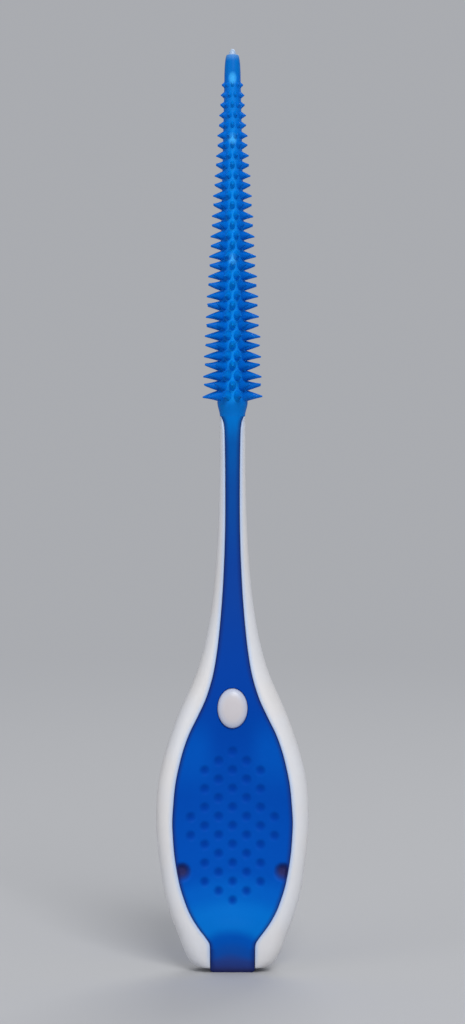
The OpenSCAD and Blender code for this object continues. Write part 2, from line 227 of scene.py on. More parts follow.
# %% [markdown]
# ## Making a piece
#
# Each piece is a grid of points, closed into a solid, so that its mesh could be printed or cut as it is.
# Points that meet are welded, the faces are turned outward, and edges sharper than a fold stay sharp.
# The helper prints whether the solid is closed.

# %% Helpers that turn points into pieces
WELD = 0.0002
SHARP_DEG = 35


def grid_faces(at):
    """Faces of a grid of point numbers."""
    a, b, c, d = at[:-1, :-1], at[:-1, 1:], at[1:, 1:], at[1:, :-1]
    return np.stack([a, b, c, d], -1).reshape(-1, 4).tolist()


def tube_faces(rings, around):
    """Faces of a tube of rings, with a cap on its first ring and on its last."""
    at = np.arange(rings * around).reshape(rings, around)
    return grid_faces(np.concatenate([at, at[:, :1]], 1)) + [at[0].tolist(), at[-1].tolist()]


def make_piece(name, points, faces, slot, *nodes):
    """Solid piece from points in millimetres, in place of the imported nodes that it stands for."""
    mesh = bpy.data.meshes.new(name)
    mesh.from_pydata((np.asarray(points, float) * MM).tolist(), [], faces)
    shape = bmesh.new()
    shape.from_mesh(mesh)
    bmesh.ops.remove_doubles(shape, verts=shape.verts, dist=WELD * MM)
    bmesh.ops.dissolve_degenerate(shape, edges=shape.edges, dist=WELD * MM / 2)
    bmesh.ops.recalc_face_normals(shape, faces=shape.faces)
    loose = sum(1 for e in shape.edges if not e.is_manifold)
    shape.to_mesh(mesh)
    shape.free()
    mesh.polygons.foreach_set("use_smooth", [True] * len(mesh.polygons))
    mesh.set_sharp_from_angle(angle=math.radians(SHARP_DEG))
    piece = bpy.data.objects.new(name, mesh)
    bpy.context.scene.collection.objects.link(piece)
    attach(piece, "root")
    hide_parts(*nodes)
    print(f"{name}: {len(mesh.polygons)} faces, {loose} open edges")
    return piece


def places_of(piece):
    """Points of a piece, in millimetres, as x, y and z."""
    flat = np.zeros(len(piece.data.vertices) * 3)
    piece.data.vertices.foreach_get("co", flat)
    return (flat.reshape(-1, 3) / MM).T


def mark(piece, name, values):
    """Stores one number for each point of a piece, for its material to read."""
    layer = piece.data.attributes.new(name, "FLOAT", "POINT")
    layer.data.foreach_set("value", np.asarray(values, np.float32))


# %% [markdown]
# ## The white frame
#
# The frame is one moulding: a rounded rim round two beds, a thin web between the beds, and a neck with a
# groove in its front. It could be cut from a block with Booleans, but their edges come out ragged on
# such slim rails. Here half of its section is worked out at each height instead, as a line that runs
# from the web over the front lip, round the outside and back to the web. Rings of that line are joined
# into one skin, and a ring leaves out what isn't there at its height.

# %% Section of the frame
LIP = 0.1
LIP_SHARE = 0.4
END_ROUND = 0.16
FLOOR_POINTS = 4
WALL_POINTS = 4
LIP_POINTS = 6
OUTSIDE_POINTS = 44
ARC_POINTS = 24


def end_draw(z):
    """How far the arms' ends are drawn in where their lower edges are rounded."""
    q = np.clip((z - arm_z) / END_ROUND, 0, 1)
    return END_ROUND * (1 - math.sqrt(1 - (1 - q) ** 2))


def bend(a, corner, b, count):
    """Points on a soft corner between two places."""
    t = np.linspace(0, 1, count)[:, None]
    a, corner, b = (np.array(p, float) for p in (a, corner, b))
    return a * (1 - t) ** 2 + 2 * corner * t * (1 - t) + b * t * t


def outside(w, d, x_front, x_rear):
    """Evenly spaced points round the outside of the frame, from its front lip to its rear lip."""
    r = min(FRAME_R, ROUND_SHARE * w, ROUND_SHARE * d)
    turn = np.linspace(0, math.pi / 2, ARC_POINTS)
    arc = [(w - r + r * math.sin(a), -(d - r) - r * math.cos(a)) for a in turn]
    front = [(x_front, -d)] * (x_front < w - r)
    rear = [(x_rear, d)] * (x_rear < w - r)
    line = np.array(front + arc + [(x, -y) for x, y in arc[::-1]] + rear)
    far = np.concatenate([[0], np.cumsum(np.hypot(*np.diff(line, axis=0).T))])
    half = np.argmax(line[:, 1] >= 0)
    begin = np.interp(x_front, line[:half, 0], far[:half])
    end = far[-1] - np.interp(x_rear, line[half:, 0][::-1], (far[-1] - far[half:])[::-1])
    steps = np.linspace(begin, end, OUTSIDE_POINTS)
    return np.stack([np.interp(steps, far, line[:, 0]), np.interp(steps, far, line[:, 1])], -1)


def half_section(z):
    """Right half of the frame's section at a height, from the front of the web to the back of it."""
    draw = end_draw(z)
    w, d = float(rim_half(z)) - draw, float(rim_depth(z)) - draw
    e, g = float(inlay_half(z)), float(rear_half(z))
    lip = min(LIP, LIP_SHARE * (w - e))
    rear_lip = min(lip, g)
    rim = outside(w, d, e + lip, g + rear_lip)
    front = float(web_y(z))
    floor = np.linspace([0, front], [e, front], FLOOR_POINTS)
    wall = np.linspace([e, front], [e, rim[0, 1] + lip], WALL_POINTS)
    rear_wall = np.linspace([g, rim[-1, 1] - rear_lip], [g, WEB_T / 2], WALL_POINTS)
    rear_floor = np.linspace([g, WEB_T / 2], [0, WEB_T / 2], FLOOR_POINTS)
    front_lip = bend(wall[-1], (e, rim[0, 1]), rim[0], LIP_POINTS)
    back_lip = bend(rim[-1], (g, rim[-1, 1]), rear_wall[0], LIP_POINTS)
    others = [wall, front_lip, rim, back_lip, rear_wall, rear_floor]
    return np.concatenate([floor, *(run[1:] for run in others)])


# %% Rings of the frame, and the piece
RING_STEP = 0.12
RING_GAP = 20 * WELD
END_STEP = 0.04
CAP_STEPS = 14
rear_taper_z = REAR_TAPER_SHARE * handle_l
rear_top_z = REAR_TOP_SHARE * handle_l


def cap_places():
    """Heights that close in on the rear pad's top, where its edge turns over."""
    return rear_taper_z + (rear_top_z - rear_taper_z) * np.sin(np.linspace(0, math.pi / 2, CAP_STEPS + 1))


def frame_heights():
    """Heights of the frame's rings: close at the end, and exact where the section changes."""
    marks = [WEB_Z, tab_h, rear_top_z, handle_l]
    loose = np.concatenate([
        np.arange(arm_z, tab_h, END_STEP), np.arange(tab_h, handle_l, RING_STEP), cap_places(),
    ])
    clear = [z for z in loose if min(abs(z - m) for m in marks) > RING_GAP]
    return np.unique(np.concatenate([clear, marks]).round(6))


def build_frame():
    """White frame with its web, beds and neck."""
    heights = frame_heights()
    halves = np.array([half_section(z) for z in heights])
    rings, cols = halves.shape[:2]
    z = np.repeat(heights[:, None], cols, 1)
    right = np.stack([halves[..., 0], halves[..., 1], z], -1)
    left = right * [-1, 1, 1]
    points = np.concatenate([right.reshape(-1, 3), left.reshape(-1, 3)])
    web = int(np.argmin(abs(heights - WEB_Z)))
    top = int(np.argmin(abs(heights - rear_top_z)))
    a, b = FLOOR_POINTS - 1, cols - FLOOR_POINTS
    rear = cols - FLOOR_POINTS - WALL_POINTS - LIP_POINTS + 2
    faces = []
    for side in (0, rings * cols):
        at = side + np.arange(rings * cols).reshape(rings, cols)
        faces += grid_faces(at[: web + 1, a : b + 1])
        faces += grid_faces(at[: web + 1, [b, a]])
        faces += grid_faces(np.stack([at[web, : a + 1], at[web, : b - 1 : -1]]))
        faces += grid_faces(at[web : top + 1])
        faces += grid_faces(at[top:, : rear + 1])
        faces.append(at[0, a : b + 1].tolist())
    last = (rings - 1) * cols + np.arange(rear + 1)
    faces.append([*last.tolist(), *(last[::-1] + rings * cols).tolist()])
    return make_piece("handle_frame", points, faces, "carrier", "carrier")


handle_frame = build_frame()

# %% [markdown]
# ## Needle and boss
#
# Both belong to the white moulding too. The needle runs up inside the brush and shows only as a round
# tip. The boss is the oval button on the front, a post that stops the soft skin from peeling: a low dome
# with a slightly flattened top.

# %% Turned shapes
NEEDLE_R0 = 0.42
NEEDLE_R1 = 0.21
NEEDLE_STEPS = 24
ROUND_STEPS = 12
AROUND = 48


def turned(profile, around=AROUND):
    """Closed solid turned round the brush's axis, from a profile of radius and height."""
    profile = np.array(profile)
    angle = np.linspace(0, 2 * math.pi, around, endpoint=False)
    x, y = np.outer(profile[:, 0], np.cos(angle)), np.outer(profile[:, 0], np.sin(angle))
    z = np.repeat(profile[:, 1][:, None], around, 1)
    return np.stack([x, y, z], -1).reshape(-1, 3), tube_faces(*x.shape)


def needle_r(z):
    """Radius of the needle."""
    return NEEDLE_R0 + (NEEDLE_R1 - NEEDLE_R0) * (z - handle_l) / (mouth_z - handle_l)


def build_needle():
    """Needle that carries the brush, with a round tip."""
    foot = [(needle_r(z), z) for z in np.linspace(handle_l, mouth_z, NEEDLE_STEPS)]
    rise = tip_z - mouth_z
    turn = np.linspace(0, math.pi / 2, ROUND_STEPS)[1:-1]
    tip = [(NEEDLE_R1 * math.cos(a), mouth_z + rise * math.sin(a)) for a in turn]
    return make_piece("needle", *turned(foot + tip), "carrier", "carrier")


needle = build_needle()

# %% Boss
BOSS_W = 1.74
BOSS_L = 2.3
BOSS_Z = pad_top_z - 1.84
BOSS_RISE = 0.1
BOSS_SEAT = 0.3
BOSS_POWER = 2.6
BOSS_AROUND = 72
BOSS_STEPS = 20


def dish(z):
    """Depth of the front pad's dish along its middle."""
    return DISH * curve(DISH_SHARES, z / handle_l)


def build_boss():
    """Oval boss that stands through the front pad."""
    top_y = -float(rim_depth(BOSS_Z)) - BOSS_RISE
    seat_y = edge_drop - float(rim_depth(BOSS_Z)) + float(dish(BOSS_Z)) + BOSS_SEAT
    share = np.concatenate([[1], np.sin(np.linspace(math.pi / 2, 0, BOSS_STEPS))[:-1]])
    height = (1 - share**BOSS_POWER) ** (1 / BOSS_POWER)
    y = seat_y - BOSS_SEAT + (top_y - seat_y + BOSS_SEAT) * height
    y[0] = seat_y
    angle = np.linspace(0, 2 * math.pi, BOSS_AROUND, endpoint=False)
    x = np.outer(share, np.cos(angle)) * BOSS_W / 2
    z = BOSS_Z + np.outer(share, np.sin(angle)) * BOSS_L / 2
    points = np.stack([x, np.repeat(y[:, None], BOSS_AROUND, 1), z], -1).reshape(-1, 3)
    return make_piece("grip_boss", points, tube_faces(*x.shape), "carrier", "carrier")


grip_boss = build_boss()

# %% [markdown]
# ## The soft pads
#
# A pad is a skin over the frame's bed: dished on the front for the thumb, crowned on the rear, and rolled
# over at its border, so that a fine dark line runs between it and the white rim. The dimples are pressed
# into it in a staggered field. Bump shading would do for them from afar, but a side view shows that a
# bump has no depth, so the grid is fine enough, at 0.065 mm, to hold them as real hollows.

# %% Grid across a pad
EDGE_STEPS = np.array([0, 0.01, 0.025, 0.045, 0.07, 0.1, 0.14])
PAD_STEP = 0.065
SEAM = 0.008


def across(half, steps):
    """Places across a skin at each height, closer at its borders, and how far each is from a border."""
    half = half[:, None] - SEAM
    edge = EDGE_STEPS * np.minimum(1, half / (2 * EDGE_STEPS[-1]))
    inner = half - edge[:, -1:]
    middle = inner * np.linspace(-1, 1, steps)
    x = np.concatenate([edge[:, :-1] - half, middle, (half - edge[:, :-1])[:, ::-1]], 1)
    return x, half - abs(x)


def rolled(distance, width, depth):
    """Drop of a skin that rolls over at its border."""
    q = np.clip(distance / width, 0, 1)
    return depth * (1 - np.sqrt(1 - (1 - q) ** 2))


def filled(skin, floor_y):
    """Closed solid under a skin: its grid, two side walls, two end walls and a floor."""
    rows, cols = skin.shape[:2]
    at = np.arange(rows * cols).reshape(rows, cols)
    left = rows * cols + np.arange(rows)
    right = left + rows
    floor = skin[:, [0, -1]].copy()
    floor[..., 1] = np.reshape(floor_y, (-1, 1))
    points = np.concatenate([skin.reshape(-1, 3), floor[:, 0], floor[:, 1]])
    rail = [at[:, 0], left, right, at[:, -1]]
    faces = grid_faces(at) + grid_faces(np.stack(rail, 1))
    faces += [[*at[end].tolist(), int(right[end]), int(left[end])] for end in (0, -1)]
    return points, faces


# %% Dimples, pockets and the boss's seat
DIMPLE_R = 0.33
DIMPLE_DEPTH = 0.1
DIMPLE_POWER = 1.3
DIMPLE_PITCH_X = 0.806
DIMPLE_PITCH_Z = 0.54
DIMPLE_Z = wide_z - 0.2
DIMPLE_ROWS = 17
MIDDLE_ROWS = 3
MIDDLE_COLS = 3
OUTER_COLS = 2
POCKET_R = 0.63
POCKET_DEPTH = 0.42
POCKET_Z = wide_z - 2.82
POCKET_X = float(inlay_half(POCKET_Z)) - 0.27
POCKET_WALL = 0.5
POCKET_LIP = 0.14
SEAT_SIZE_SHARE = 1.04
SEAT_WALL_SHARE = 0.1
SEAT_DEPTH = 0.8 * BOSS_SEAT


def dimple_places():
    """Middles of the dimples: a staggered field that narrows at both ends."""
    middle = (DIMPLE_ROWS - 1) // 2
    found = []
    for row in range(DIMPLE_ROWS):
        wide = MIDDLE_COLS if abs(row - middle) <= MIDDLE_ROWS // 2 else OUTER_COLS
        reach = min(row, DIMPLE_ROWS - 1 - row, wide)
        for col in range(-reach, reach + 1):
            if (col + row) % 2 == 0:
                found.append((col * DIMPLE_PITCH_X, DIMPLE_Z + DIMPLE_PITCH_Z * (row - middle)))
    return found


def dimples(x, z):
    """How far into a dimple a place is, from 0 outside to 1 at its middle."""
    deep = np.zeros(np.broadcast(x, z).shape)
    for cx, cz in dimple_places():
        q = np.hypot(x - cx, z - cz) / DIMPLE_R
        deep = np.maximum(deep, np.clip(1 - q * q, 0, 1) ** DIMPLE_POWER)
    return deep


def pockets(x, z):
    """1 on the floor of a support pocket, 0 outside it."""
    return smooth((POCKET_R - np.hypot(abs(x) - POCKET_X, z - POCKET_Z)) / POCKET_WALL)


def boss_seat(x, z):
    """1 under the boss, 0 outside it."""
    far = np.hypot(2 * x / BOSS_W, 2 * (z - BOSS_Z) / BOSS_L)
    return smooth((SEAT_SIZE_SHARE - far) / SEAT_WALL_SHARE)


print(len(dimple_places()), "dimples")

# %% Front pad
PAD_ROLL = 0.13
PAD_ROLL_DEPTH = 0.08
LEAST_SKIN_T = 0.02


def front_face(x, z, half):
    """Face of the blue skin on the front, before its details: its dish begins in an arch over the tab."""
    u = np.clip(x / half, -1, 1)
    drop = edge_drop * (1 - throat(z))
    return drop - rim_y(x, z) + dish(z + ARCH_DROP * u * u) * (1 - u * u)


def build_front_pad():
    """Dished front pad with its dimples, pockets and the seat of the boss."""
    heights = np.linspace(tab_h, pad_top_z, int((pad_top_z - tab_h) / PAD_STEP) + 1)
    half = inlay_half(heights)
    x, border = across(half, int(pad_w / PAD_STEP))
    z = np.repeat(heights[:, None], x.shape[1], 1)
    y = front_face(x, z, half[:, None])
    y = y + rolled(border, PAD_ROLL, PAD_ROLL_DEPTH) + DIMPLE_DEPTH * dimples(x, z)
    y = y + POCKET_DEPTH * pockets(x, z) * smooth(border / POCKET_LIP) + SEAT_DEPTH * boss_seat(x, z)
    skin = np.stack([x, np.minimum(y, -WEB_T / 2 - LEAST_SKIN_T), z], -1)
    return make_piece("front_pad", *filled(skin, -WEB_T / 2), "grip", "front_grip_pad")


front_pad = build_front_pad()

# %% Rear pad
REAR_STEP = 0.09
UPPER_RINGS = 60
CAP_RINGS = 6


def build_rear_pad():
    """Crowned rear pad with the same dimples."""
    lower = np.linspace(tab_h, rear_taper_z, int((rear_taper_z - tab_h) / PAD_STEP) + 1)
    upper = np.linspace(rear_taper_z, rear_top_z, UPPER_RINGS)[1:-CAP_RINGS]
    heights = np.unique(np.concatenate([lower, upper, cap_places()[-CAP_RINGS:]]).round(5))
    half = np.maximum(rear_half(heights), SEAM * 2)
    x, border = across(half, int(pad_w / REAR_STEP))
    z = np.repeat(heights[:, None], x.shape[1], 1)
    u = np.clip(x / half[:, None], -1, 1)
    y = rim_depth(z) - edge_drop - CROWN * np.minimum(1, z / tab_h - 1) * u * u
    y = y - rolled(border, PAD_ROLL, PAD_ROLL_DEPTH) - DIMPLE_DEPTH * dimples(x, z)
    return make_piece("rear_pad", *filled(np.stack([x, y, z], -1), WEB_T / 2), "grip", "rear_grip_pad")


rear_pad = build_rear_pad()

# %% [markdown]
# ## Neck strip and end tab
#
# The strip is the runner that carried the blue material from the pad to the brush: it fills the groove of
# the neck with a slight crown and flares where it joins the sleeve, so that the white rails end in
# points. The tab is the same skin folded over the flat end, between the two arms, with a hollow along
# each side.

# %% Neck strip
STRIP_STEP = 0.08
STRIP_COLS = 26
STRIP_ROLL = 0.1
STRIP_ROLL_DEPTH = 0.06
STRIP_FLUSH_SHARE = 0.7


def build_neck_strip():
    """Strip in the groove of the neck, which comes up flush with the sleeve's root."""
    heights = np.linspace(pad_top_z, handle_l, int((handle_l - pad_top_z) / STRIP_STEP) + 1)
    half = inlay_half(heights)
    x, border = across(half, STRIP_COLS)
    z = np.repeat(heights[:, None], x.shape[1], 1)
    roll = rolled(border, STRIP_ROLL, STRIP_ROLL_DEPTH) * (1 - STRIP_FLUSH_SHARE * throat(z))
    skin = np.stack([x, front_face(x, z, half[:, None]) + roll, z], -1)
    return make_piece("neck_strip", *filled(skin, web_y(heights)), "inlay", "neck_inlay")


neck_strip = build_neck_strip()

# %% End tab
TAB_STEP = 0.04
TAB_COLS = 40
TAB_ROLL = 0.3
TAB_ROLL_DEPTH = 0.09
TAB_ROLL_EASE = 0.3


def build_end_tab():
    """Tab folded over the flat end, from the front pad to the rear pad."""
    heights = np.linspace(tab_h, 0, int(tab_h / TAB_STEP) + 1)
    depth = rim_depth(heights) - edge_drop
    under = np.linspace(-depth[-1], depth[-1], int(2 * depth[-1] / TAB_STEP))[1:-1]
    path_y = np.concatenate([-depth, under, depth[::-1]])
    path_z = np.concatenate([heights, np.zeros(len(under)), heights[::-1]])
    way = np.gradient(np.stack([path_y, path_z]), axis=1)
    inward = np.stack([-way[1], way[0]]) / np.hypot(*way)
    corner = TAB_R - np.sqrt(TAB_R**2 - np.clip(TAB_R - path_z, 0, TAB_R) ** 2)
    half = tab_w / 2 - corner
    x, border = across(half, TAB_COLS)
    drop = rolled(border, TAB_ROLL, TAB_ROLL_DEPTH) * np.clip(path_z / TAB_ROLL_EASE, 0, 1)[:, None]
    y = path_y[:, None] + inward[0][:, None] * drop
    z = path_z[:, None] + inward[1][:, None] * drop
    rows, cols = x.shape
    at = np.arange(rows * cols).reshape(rows, cols)
    faces = grid_faces(at) + [at[:, 0].tolist(), at[:, -1].tolist()]
    faces.append([*at[0].tolist(), *at[-1][::-1].tolist()])
    points = np.stack([x, y, np.maximum(z, 0)], -1).reshape(-1, 3)
    return make_piece("flat_end_tab", points, faces, "inlay", "end_tab")


flat_end_tab = build_end_tab()

# %% [markdown]
# ## The brush
#
# The sleeve is a cone on the needle. Three small oval windows on its front are where pins held the
# needle in the mould, so the skin is thinnest there and the white core shines through. The bristles are
# moulded with the sleeve: stout at the foot, slender at the tip, ten to a ring, with each ring turned by
# half a step from the last. Hair particles would be quicker, but they leave no mesh behind, so each
# bristle is a small closed cone with a round tip, and a seeded draw bends each one a little.

# %% Sleeve
SLEEVE_R1 = 0.47
MOUTH_R = 0.32
SLEEVE_STEP = 0.08
SLEEVE_AROUND = 72
NOSE_STEPS = 22
WINDOWS_Z = (tip_z - 1.73, tip_z - 5.22, tip_z - 12.15)
WINDOW_W = 0.52
WINDOW_L = 0.84
WINDOW_DEPTH = 0.035


def sleeve_r(z):
    """Radius of the sleeve: it swells from the neck to its root, and narrows along its bristles."""
    cone = sleeve_wide_r + (SLEEVE_R1 - sleeve_wide_r) * (z - bristle_z0) / (bristle_z1 - bristle_z0)
    root = SLEEVE_R0 + (sleeve_wide_r - SLEEVE_R0) * smooth((z - handle_l) / (bristle_z0 - handle_l))
    return np.where(z < bristle_z0, root, cone)


def window(x, y, z):
    """How far into an oval window a place is, from 0 outside to 1 at its middle."""
    deep = np.zeros(np.shape(x))
    for cz in WINDOWS_Z:
        q = np.hypot(2 * x / WINDOW_W, 2 * (z - cz) / WINDOW_L)
        deep = np.maximum(deep, np.clip(1 - q * q, 0, 1))
    return deep * (y < 0)


def build_sleeve():
    """Sleeve on the needle, with its root, its windows and its nose."""
    body = [(sleeve_r(z), z) for z in np.arange(handle_l, bristle_z1, SLEEVE_STEP)]
    turn = np.linspace(0, math.pi / 2, NOSE_STEPS)
    nose_w, nose_l = SLEEVE_R1 - MOUTH_R, mouth_z - bristle_z1
    nose = [(MOUTH_R + nose_w * math.cos(a), bristle_z1 + nose_l * math.sin(a)) for a in turn]
    profile = [(needle_r(handle_l), handle_l), *body, *nose, (needle_r(mouth_z), mouth_z)]
    points, faces = turned(profile, SLEEVE_AROUND)
    x, y, z = points.T
    deep = WINDOW_DEPTH * window(x, y, z)
    far = np.hypot(x, y)
    points[:, :2] *= ((far - deep) / far)[:, None]
    return make_piece("sleeve", points, faces, "brush", "brush_sleeve")


sleeve = build_sleeve()

# %% Bristles
RING_PITCH = 0.578
RING_COUNT = 10
TIP_REACH = 0.65
REACH_POWER = 1.35
FOOT_H0 = 0.64
FOOT_H1 = 0.5
FOOT_W_SHARE = 0.8
TIP_R = 0.055
FOOT_SINK = 0.06
BRISTLE_SIDES = 12
BRISTLE_STEPS = 7
CAP_SHARES = np.array([0.5, 0.87])
BEND = 0.04
PAIR_LEAN = 0.05
SPREAD = 0.02
draw = np.random.default_rng(7)


def bristle(root_r, foot_h, reach, angle, z, lean):
    """Points and faces of one bristle: a cone with an upright oval foot and a round tip."""
    t = np.linspace(0, 1, BRISTLE_STEPS)
    length = reach - root_r + FOOT_SINK
    wide = TIP_R + (FOOT_W_SHARE * math.pi * root_r / RING_COUNT - TIP_R) * (1 - t)
    tall = TIP_R + (foot_h / 2 - TIP_R) * (1 - t)
    far = root_r - FOOT_SINK + (length - TIP_R) * t
    far = np.append(far, far[-1] + TIP_R * CAP_SHARES)
    wide, tall = (np.append(r, TIP_R * np.sqrt(1 - CAP_SHARES**2)) for r in (wide, tall))
    along = np.clip((far - root_r) / (reach - root_r), 0, 1) ** 2
    ring = np.linspace(0, 2 * math.pi, BRISTLE_SIDES, endpoint=False)
    across_x = lean[0] * along[:, None] + np.outer(wide, np.cos(ring))
    up = lean[1] * along[:, None] + np.outer(tall, np.sin(ring))
    c, s = math.cos(angle), math.sin(angle)
    points = np.stack([far[:, None] * c - across_x * s, far[:, None] * s + across_x * c, z + up], -1)
    return points.reshape(-1, 3), tube_faces(*up.shape)


def build_bristles():
    """All rings of bristles, each ring turned by half a step."""
    reach0 = bristle_high[0]
    rings = int((bristle_z1 - bristle_z0) / RING_PITCH)
    first = bristle_z0 + (bristle_z1 - bristle_z0 - (rings - 1) * RING_PITCH) / 2
    points, faces, start = [], [], 0
    for k in range(rings):
        z = first + k * RING_PITCH
        root_r = float(sleeve_r(z))
        foot_h = FOOT_H0 + (FOOT_H1 - FOOT_H0) * k / (rings - 1)
        reach = reach0 + (TIP_REACH - reach0) * (k / (rings - 1)) ** REACH_POWER
        for h in range(RING_COUNT):
            angle = 2 * math.pi * (h + k % 2 / 2) / RING_COUNT
            lean = (draw.normal(0, BEND, 2) + [0, PAIR_LEAN if k % 2 else -PAIR_LEAN]) * (reach - root_r)
            far = reach * (1 + SPREAD * draw.uniform(-1, 0))
            its_points, its_faces = bristle(root_r, foot_h, far, angle, z, lean)
            points.append(its_points)
            faces += [[start + n for n in face] for face in its_faces]
            start += len(its_points)
    print(rings, "rings,", len(points), "bristles")
    return make_piece("bristle_rings", np.concatenate(points), faces, "brush", "bristles")


bristle_rings = build_bristles()

# %% [markdown]
# ## Writing materials as maths
#
# A material's maths reads best as plain Python. `Wire` wraps one output of a node and overloads the
# operators, so `1 - mask` adds a Math node. `Graph.node` adds any other node: it sets the node's own
# settings first and then fills its sockets with numbers or wires. The Mix node has several sockets of
# the same name, so they are given by their numbers. Among the values of a material, a noise is its
# features a millimetre and its detail, and a roughness is its least value, its spread and its noise.

# %% Wires and graphs
class Wire:
    """One output of a node, on which Python's operators work."""

    def __init__(self, graph, socket):
        self.graph, self.socket = graph, socket

    def out(self, name):
        """Another output of the same node."""
        return Wire(self.graph, self.socket.node.outputs[name])

    def __add__(self, other):
        return self.graph.maths("ADD", self, other)

    def __radd__(self, other):
        return self.graph.maths("ADD", other, self)

    def __sub__(self, other):
        return self.graph.maths("SUBTRACT", self, other)

    def __rsub__(self, other):
        return self.graph.maths("SUBTRACT", other, self)

    def __mul__(self, other):
        return self.graph.maths("MULTIPLY", self, other)

    def __rmul__(self, other):
        return self.graph.maths("MULTIPLY", other, self)

    def __truediv__(self, other):
        return self.graph.maths("DIVIDE", self, other)

    def __rtruediv__(self, other):
        return self.graph.maths("DIVIDE", other, self)


class Graph:
    """Node tree of a material or a world, emptied and ready to fill."""

    def __init__(self, owner):
        owner.use_nodes = True
        self.tree = owner.node_tree
        self.tree.nodes.clear()

    def node(self, kind, settings=None, sockets=None, output=0):
        """Adds a node and returns one of its outputs."""
        made = self.tree.nodes.new(kind)
        for name, value in (settings or {}).items():
            if name == "stops":
                ramp = made.color_ramp
                ramp.interpolation = "EASE"
                for _ in value[2:]:
                    ramp.elements.new(0.5)
                for stop, (place, colour) in zip(ramp.elements, value):
                    stop.position = place
                    stop.color = (*colour, 1)
            else:
                setattr(made, name, value)
        for name, value in (sockets or {}).items():
            if isinstance(value, Wire):
                self.tree.links.new(value.socket, made.inputs[name])
            else:
                made.inputs[name].default_value = value
        return Wire(self, made.outputs[output]) if made.outputs else None

    def maths(self, operation, *numbers):
        """Math node on numbers or wires."""
        return self.node("ShaderNodeMath", {"operation": operation}, dict(enumerate(numbers)))

    def millimetres(self):
        """Place on the object in millimetres, as a vector."""
        place = self.node("ShaderNodeTexCoord").out("Object")
        return self.node("ShaderNodeVectorMath", {"operation": "SCALE"}, {0: place, "Scale": 1 / MM})

    def axis(self, vector, name):
        """One of X, Y and Z of a vector."""
        return self.node("ShaderNodeSeparateXYZ", None, {0: vector}).out(name)

    def noise(self, vector, scale, detail=2.0):
        """Soft noise from 0 to 1, with its size in features a millimetre."""
        return self.node("ShaderNodeTexNoise", None, {"Vector": vector, "Scale": scale, "Detail": detail})

    def roughness(self, vector, least, spread, scale):
        """Roughness that drifts softly over a surface."""
        return least + spread * self.noise(vector, scale)

    def step(self, value, low, high):
        """Eased step from 0 to 1 while a value goes from low to high."""
        return self.node("ShaderNodeMapRange", {"interpolation_type": "SMOOTHSTEP"},
                         {"Value": value, "From Min": low, "From Max": high})

    def mark(self, name):
        """A number stored on the mesh's points."""
        return self.node("ShaderNodeAttribute", {"attribute_name": name}).out("Fac")

    def mixed(self, share, first, second):
        """Colour between two others."""
        first, second = (c if isinstance(c, Wire) else (*c, 1) for c in (first, second))
        return self.node("ShaderNodeMix", {"data_type": "RGBA"}, {0: share, 6: first, 7: second}, 2)

    def ramp(self, value, stops):
        """Colour from a ramp of (place, colour) stops."""
        return self.node("ShaderNodeValToRGB", {"stops": stops}, {0: value})

    def bump(self, height, distance_mm):
        """Shading normal of fine relief."""
        return self.node("ShaderNodeBump", None, {"Height": height, "Distance": distance_mm * MM})

    def surface(self, sockets):
        """Principled surface that ends a material."""
        shader = self.node("ShaderNodeBsdfPrincipled", None, sockets)
        self.node("ShaderNodeOutputMaterial", None, {0: shader})


# %% [markdown]
# ## White polypropylene
#
# The frame is satin polypropylene: bright, a little milky, so light enters it and softens its edges. Next
# to the pads its white is painted bluer and darker: painted blue light from the skin that bounces onto it
# and spreads through it, and painted shade beside the skin. A mould leaves a very fine grain on it and a
# parting line round the middle of its side. All three follow the place on the piece, so they stay put in
# every view. The boss and the needle's tip are of the same plastic, but their whites are painted duller
# and bluer, as shade and blue light from the blue skin that rings them closely.

# %% White material
WHITE = (0.68, 0.688, 0.72)
WARM_WHITE = (0.688, 0.677, 0.682)
# The needle's and the boss's whites are painted duller and bluer, as shade and blue light from the skin
# round them.
NEEDLE_BLUE_LIT_WHITE = (0.36, 0.48, 0.66)
BOSS_SHADED_WHITE = (0.57, 0.54, 0.565)
WHITE_CLOUD = 0.35
WHITE_CLOUD_STEP = (0.35, 0.7)
WHITE_ROUGHNESS = (0.3, 0.1, 2.2)
WHITE_GRAIN = (14, 3.0)
WHITE_LIGHT_DEPTH = 0.4
GRAIN_DEPTH = 0.004
PAINTED_BLUE_LIGHT = (0.34, 0.50, 0.78)
BLUE_LIGHT_SHARE = 0.75
PARTING_HALF = 0.03
PARTING_HEIGHT = 2.5


def white_plastic(name, cool, warm):
    """Satin polypropylene, clouded between two whites."""
    material = bpy.data.materials.new(name)
    g = Graph(material)
    place = g.millimetres()
    colour = g.mixed(g.step(g.noise(place, WHITE_CLOUD), *WHITE_CLOUD_STEP), cool, warm)
    # Painted blue light and shade on the white next to the blue skin.
    colour = g.mixed(g.mark("glow") * BLUE_LIGHT_SHARE, colour, PAINTED_BLUE_LIGHT)
    parting = 1 - g.step(g.maths("ABSOLUTE", g.axis(place, "Y")), 0, PARTING_HALF)
    grain = g.noise(place, *WHITE_GRAIN) + parting * PARTING_HEIGHT * g.mark("side")
    g.surface({
        "Base Color": colour,
        "Roughness": g.roughness(place, *WHITE_ROUGHNESS),
        "Normal": g.bump(grain, GRAIN_DEPTH),
        "Specular IOR Level": 0.5,
        "Subsurface Weight": 0.12,
        "Subsurface Radius": (1.0, 1.0, 1.0),
        "Subsurface Scale": WHITE_LIGHT_DEPTH * MM,
    })
    return material


# %% Marks on the white pieces
BLUE_LIGHT_WIDTH = 0.28
BLUE_LIGHT_EASE_Y = 0.5
SIDE_EASE_X = 0.3
BOSS_EDGE_SHARE = 0.5
BOSS_BLUE_LIGHT_SHARE = 0.5


